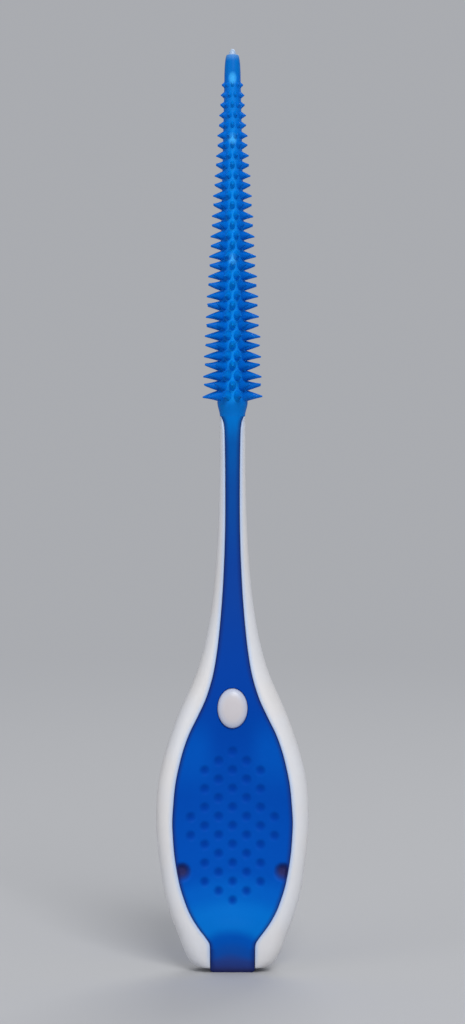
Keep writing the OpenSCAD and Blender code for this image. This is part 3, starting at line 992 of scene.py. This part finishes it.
def mark_white(piece):
    """Marks how near a point of the frame is to the blue skin, for its painted blue light and shade, and
    whether it is on the outer side.
    """
    x, y, z = places_of(piece)
    above_foot = smooth(z / tab_h)
    front = 1 - smooth((abs(x) - inlay_half(z)) / BLUE_LIGHT_WIDTH)
    rear = 1 - smooth(np.maximum(abs(x) - rear_half(z), z - rear_top_z) / BLUE_LIGHT_WIDTH)
    # Where the painted blue light and shade lie: next to the front and rear pads, above the foot.
    mark(piece, "glow", np.where(y < 0, front, rear) * above_foot * smooth(abs(y) / BLUE_LIGHT_EASE_Y))
    mark(piece, "side", above_foot * smooth((abs(x) - inlay_half(z)) / SIDE_EASE_X))


def mark_boss(piece):
    """Marks the painted blue light on the boss, which is strongest at its edge."""
    x, _, z = places_of(piece)
    far = np.hypot(2 * x / BOSS_W, 2 * (z - BOSS_Z) / BOSS_L)
    mark(piece, "glow", BOSS_BLUE_LIGHT_SHARE * smooth((far - BOSS_EDGE_SHARE) / (1 - BOSS_EDGE_SHARE)))
    mark(piece, "side", 0 * x)


def mark_needle(piece):
    """Marks that the needle has no painted blue light and no parting line."""
    for name in ("glow", "side"):
        mark(piece, name, 0 * places_of(piece)[0])


mark_white(handle_frame)
mark_boss(grip_boss)
mark_needle(needle)
white = white_plastic("satin_white_polypropylene", WHITE, WARM_WHITE)
boss_white = white_plastic("boss_polypropylene", BOSS_SHADED_WHITE, BOSS_SHADED_WHITE)
needle_white = white_plastic("needle_polypropylene", NEEDLE_BLUE_LIT_WHITE, NEEDLE_BLUE_LIT_WHITE)
handle_frame.data.materials.append(white)
needle.data.materials.append(needle_white)
grip_boss.data.materials.append(boss_white)

# %% [markdown]
# ## Blue elastomer
#
# One compound makes the whole skin, yet it looks different from end to end: azure where it is thin and
# royal in the narrow neck, with painted light making it paler on the toe's slope, which faces up, and
# painted shade making it nearly navy under the flat end. The colour is a ramp by height, paler on the pad's
# two shoulders, and darkened with painted shade in a narrow band at the borders, in the dimples and in
# the pockets, where light is trapped. The skin itself is matt with a fine leather-like grain.

# %% Blue tones with painted light and shade, from the flat end up
BORDER_SHADE_NAVY = (0.010, 0.021, 0.13)
DIMPLE_SHADE_BLUE = (0.0, 0.043, 0.335)
POCKET_SHADE_PLUM = (0.031, 0.032, 0.13)
SHOULDER_BLUE = (0.0, 0.082, 0.46)
BLUE_TONE_LIGHT_AND_SHADE_STOPS = [
    (0.0, (0.030, 0.036, 0.15)), (0.022, (0.020, 0.050, 0.24)), (0.042, (0.004, 0.068, 0.36)),
    (0.066, (0.0, 0.079, 0.43)), (0.086, (0.0, 0.146, 0.555)), (0.112, (0.0, 0.148, 0.57)),
    (0.15, (0.0, 0.109, 0.52)), (0.19, (0.0, 0.077, 0.455)), (0.36, (0.0, 0.063, 0.405)),
    (0.44, (0.0, 0.054, 0.37)), (0.52, (0.001, 0.050, 0.35)), (0.72, (0.004, 0.050, 0.31)),
    (0.86, (0.003, 0.065, 0.32)), (0.95, (0.001, 0.088, 0.37)), (1.0, (0.0, 0.150, 0.54)),
]

# %% Blue material
BLUE_CLOUD = 0.5
TONE_WANDER = 0.3
BORDER_SHADE_SHARE = 0.68
DIMPLE_SHADE_SHARE = 0.95
DIMPLE_ROUGHNESS = 0.3
BLUE_ROUGHNESS = (0.42, 0.14, 3)
BLUE_GRAIN = (22, 4.0)
BLUE_PORES = 6
PORE_SHARE = 0.6
BLUE_GRAIN_DEPTH = 0.006


def elastomer(name):
    """Soft blue elastomer of the handle, toned by height, with painted light and shade."""
    material = bpy.data.materials.new(name)
    g = Graph(material)
    place = g.millimetres()
    height = (g.mark("arch") + TONE_WANDER * (g.noise(place, BLUE_CLOUD) - 0.5)) / handle_l
    # The ramp by height paints light on the toe's slope and shade at the flat end.
    colour = g.mixed(g.mark("shoulder"), g.ramp(height, BLUE_TONE_LIGHT_AND_SHADE_STOPS), SHOULDER_BLUE)
    # Painted shade in a narrow band at the skin's border.
    colour = g.mixed(g.mark("border") * BORDER_SHADE_SHARE, colour, BORDER_SHADE_NAVY)
    # Painted shade in the dimples.
    colour = g.mixed(g.mark("dimple") * DIMPLE_SHADE_SHARE, colour, DIMPLE_SHADE_BLUE)
    # Painted shade in the support pockets.
    colour = g.mixed(g.mark("pocket"), colour, POCKET_SHADE_PLUM)
    grain = g.noise(place, *BLUE_GRAIN) + PORE_SHARE * g.noise(place, BLUE_PORES)
    g.surface({
        "Base Color": colour,
        "Roughness": g.roughness(place, *BLUE_ROUGHNESS) + DIMPLE_ROUGHNESS * g.mark("dimple"),
        "Normal": g.bump(grain, BLUE_GRAIN_DEPTH),
        "Specular IOR Level": 0.03,
    })
    return material


# %% Marks on the blue pieces
BORDER_SHADE_WIDTH = 0.3
TAB_BORDER_SHADE_WIDTH = 0.4
TONE_DROP = 0.5
SHOULDER_Z = (10, 15.5)
SHOULDER_EASE_Z = 2.5
SHOULDER_X = 0.6
SHOULDER_EASE_X = 1.4


def mark_blue(piece, half, detailed=False, border=BORDER_SHADE_WIDTH):
    """Marks a blue piece's border, dimples, pockets and shoulders, and the height of its tone; the first
    three carry painted shade.
    """
    x, y, z = places_of(piece)
    # The border mark carries the painted shade at the skin's edge.
    mark(piece, "border", 1 - smooth((half(z) - abs(x)) / border))
    mark(piece, "arch", z + TONE_DROP * np.clip(x / half(z), -1, 1) ** 2 * smooth(z / tab_h))
    level = smooth((z - SHOULDER_Z[0]) / SHOULDER_EASE_Z) * smooth((SHOULDER_Z[1] - z) / SHOULDER_EASE_Z)
    mark(piece, "shoulder", level * smooth((abs(x) - SHOULDER_X) / SHOULDER_EASE_X) * (y < 0))
    # The dimple and pocket marks carry painted shade; the dimple mark also roughens the hollows.
    mark(piece, "dimple", dimples(x, z) if detailed else x * 0)
    mark(piece, "pocket", pockets(x, z) * (y < 0) if detailed else x * 0)


blue = elastomer("blue_elastomer")
mark_blue(front_pad, inlay_half, True)
mark_blue(rear_pad, rear_half, True)
mark_blue(neck_strip, inlay_half)
mark_blue(flat_end_tab, lambda z: np.full(len(z), tab_w / 2), border=TAB_BORDER_SHADE_WIDTH)
for blue_piece in (front_pad, rear_pad, neck_strip, flat_end_tab):
    blue_piece.data.materials.append(blue)

# %% [markdown]
# ## Azure sleeve and bristles
#
# On the needle the same compound is thin, so light comes through it: it is azure, and brightest in the
# three windows. Painted light makes it brighter along its middle, and painted shade makes it deeper blue
# at its flanks; it is also darker at its bare root and nose and towards the tips of the bristles. A clear
# material would show the thin skin's light by itself, but it renders slowly, so the tones are mixed by
# the place on the piece, and a little subsurface light softens them.

# %% Blue of the sleeve and the bristles
LIT_MIDDLE_AZURE = (0.0, 0.255, 0.74)
SHADED_FLANK_AZURE = (0.0, 0.138, 0.57)
BARE_AZURE = (0.0, 0.150, 0.54)
BRIGHT_AZURE = (0.05, 0.42, 0.88)
TIP_AZURE = (0.002, 0.12, 0.50)
CLEAR_BLUE = (0.20, 0.42, 0.72)
BRUSH_CLOUD = 1.1
MIDDLE_WANDER = 0.3
WINDOW_SHARE = 0.9
TIP_SHARE = 0.35
CLEAR_SHARE = 0.5
CLEAR_Z = (mouth_z - 0.4, mouth_z + 0.1)
BRUSH_ROUGHNESS = (0.36, 0.12, 4)
BRUSH_GRAIN = (20, 3.0)
BRUSH_LIGHT_DEPTH = 0.25


def brush_skin(name):
    """Azure elastomer of the sleeve and its bristles, a little translucent over the white core."""
    material = bpy.data.materials.new(name)
    g = Graph(material)
    place = g.millimetres()
    wander = MIDDLE_WANDER * (g.noise(place, BRUSH_CLOUD) - 0.5)
    # Painted light along the middle and painted shade at the flanks.
    colour = g.mixed(g.mark("middle") + wander, SHADED_FLANK_AZURE, LIT_MIDDLE_AZURE)
    colour = g.mixed(g.mark("bare"), colour, BARE_AZURE)
    colour = g.mixed(g.mark("window") * WINDOW_SHARE, colour, BRIGHT_AZURE)
    colour = g.mixed(g.mark("along") * TIP_SHARE, colour, TIP_AZURE)
    colour = g.mixed(g.step(g.axis(place, "Z"), *CLEAR_Z) * CLEAR_SHARE, colour, CLEAR_BLUE)
    g.surface({
        "Base Color": colour,
        "Roughness": g.roughness(place, *BRUSH_ROUGHNESS),
        "Normal": g.bump(g.noise(place, *BRUSH_GRAIN), GRAIN_DEPTH),
        "Specular IOR Level": 0.06,
        "Subsurface Weight": 0.1,
        "Subsurface Radius": (0.2, 0.6, 1.0),
        "Subsurface Scale": BRUSH_LIGHT_DEPTH * MM,
    })
    return material


# %% Marks on the sleeve and the bristles
MIDDLE_SHARE = 0.75
MIDDLE_FADE_SHARE = 0.6
FADE_Z = (bristle_z0 + bristle_z1) / 2
ROOT_Z = bristle_z0 + 0.3
ROOT_EASE = 0.5
NOSE_EASE = 0.4
ALONG_EASE = 0.7


def mark_brush(piece, bristly):
    """Marks the painted bright middle, the windows, the sleeve's bare ends and the way out along a bristle.
    """
    x, y, z = places_of(piece)
    bare = smooth((ROOT_Z - z) / ROOT_EASE) + smooth((z - bristle_z1) / NOSE_EASE)
    along = smooth((np.hypot(x, y) - sleeve_r(z)) / ALONG_EASE)
    fade = 1 - MIDDLE_FADE_SHARE * smooth((z - FADE_Z) / (bristle_z1 - FADE_Z))
    mark(piece, "window", window(x, y, z))
    mark(piece, "bare", 0 * x if bristly else bare)
    mark(piece, "along", along if bristly else 0 * x)
    # The middle mark paints light along the sleeve's middle and shade at its flanks, fading towards the
    # tip.
    mark(piece, "middle", fade * (1 - smooth(abs(x) / (MIDDLE_SHARE * sleeve_r(z)))))


azure = brush_skin("azure_elastomer")
mark_brush(sleeve, False)
mark_brush(bristle_rings, True)
for brush_piece in (sleeve, bristle_rings):
    brush_piece.data.materials.append(azure)

# %% [markdown]
# ## Floor, light and camera
#
# The photograph is a plain product shot: soft light from the front and above, a pale ground, and the
# camera level with the brush. The floor takes the brush's shadow near its foot and fades into the
# backdrop further out. The backdrop shows one tone to the camera and in reflections, and lights the
# brush by another, so that either can be set without the other. The places and sizes of the floor and
# the lamps are in metres.

# %% Floor and world
BACKDROP = (0.40, 0.41, 0.435)
FLOOR = (0.50, 0.505, 0.52)
FLOOR_R = 2.0
FLOOR_AROUND = 96
FLOOR_FADE = (0.05, 0.22)
SKY_LIGHT = (0.40, 0.41, 0.43)


def seen_directly(g):
    """1 for rays that come from the camera, a reflection or a clear piece."""
    path = g.node("ShaderNodeLightPath")
    camera_or_glossy = g.maths("MAXIMUM", path.out("Is Camera Ray"), path.out("Is Glossy Ray"))
    return g.maths("MAXIMUM", camera_or_glossy, path.out("Is Transmission Ray"))


def build_floor():
    """Round floor that fades into the backdrop."""
    bpy.ops.mesh.primitive_circle_add(vertices=FLOOR_AROUND, radius=FLOOR_R, fill_type="NGON")
    floor = bpy.context.object
    floor.name = "floor"
    material = bpy.data.materials.new("pale_floor")
    g = Graph(material)
    place = g.node("ShaderNodeTexCoord").out("Object")
    far = g.node("ShaderNodeVectorMath", {"operation": "LENGTH"}, {0: place}, "Value")
    matt = g.node("ShaderNodeBsdfDiffuse", None, {"Color": (*FLOOR, 1)})
    plain = g.node("ShaderNodeEmission", None, {"Color": (*BACKDROP, 1), "Strength": 1.0})
    share = g.step(far, *FLOOR_FADE) * seen_directly(g)
    both = g.node("ShaderNodeMixShader", None, {0: share, 1: matt, 2: plain})
    g.node("ShaderNodeOutputMaterial", None, {0: both})
    floor.data.materials.append(material)


def build_world():
    """Backdrop for the camera and soft light for the brush."""
    world = bpy.data.worlds.new("studio")
    bpy.context.scene.world = world
    g = Graph(world)
    shown = g.node("ShaderNodeBackground", None, {"Color": (*BACKDROP, 1), "Strength": 1.0})
    light = g.node("ShaderNodeBackground", None, {"Color": (*SKY_LIGHT, 1), "Strength": 1.0})
    both = g.node("ShaderNodeMixShader", None, {0: seen_directly(g), 1: light, 2: shown})
    g.node("ShaderNodeOutputWorld", None, {0: both})


build_floor()
build_world()

# %% Lamps
MIDDLE = Vector((0, 0, tip_z / 2)) * MM


def lamp(name, place, size, watts):
    """Square soft box that looks at the middle of the brush."""
    data = bpy.data.lights.new(name, "AREA")
    data.size = size
    data.energy = watts
    soft_box = bpy.data.objects.new(name, data)
    soft_box.location = place
    soft_box.rotation_euler = (MIDDLE - Vector(place)).to_track_quat("-Z", "Y").to_euler()
    bpy.context.scene.collection.objects.link(soft_box)


lamp("key", (0.10, -0.42, 0.30), 0.22, 1.7)
lamp("fill", (-0.32, -0.30, 0.12), 0.30, 0.3)
lamp("back", (0.10, 0.40, 0.34), 0.30, 0.9)

# %% Camera
LENS = 100
SENSOR = 36
ELEVATION_DEG = 2
CLIP_START = 0.005
FRAME_SHARE = 0.9


def build_camera():
    """Camera in front of the brush, at the photograph's angle, with the brush filling the tall frame."""
    data = bpy.data.cameras.new("camera")
    data.lens = LENS
    data.sensor_width = SENSOR
    data.clip_start = CLIP_START
    camera = bpy.data.objects.new("camera", data)
    far = tip_z * MM / FRAME_SHARE / 2 / (SENSOR / 2 / LENS)
    tilt = math.radians(ELEVATION_DEG)
    camera.location = MIDDLE + Vector((0, -math.cos(tilt), math.sin(tilt))) * far
    camera.rotation_euler = (MIDDLE - camera.location).to_track_quat("-Z", "Y").to_euler()
    bpy.context.scene.collection.objects.link(camera)
    bpy.context.scene.camera = camera
    print(f"camera {far / MM:.0f} mm away")


build_camera()
bpy.context.scene.view_settings.view_transform = "Standard"
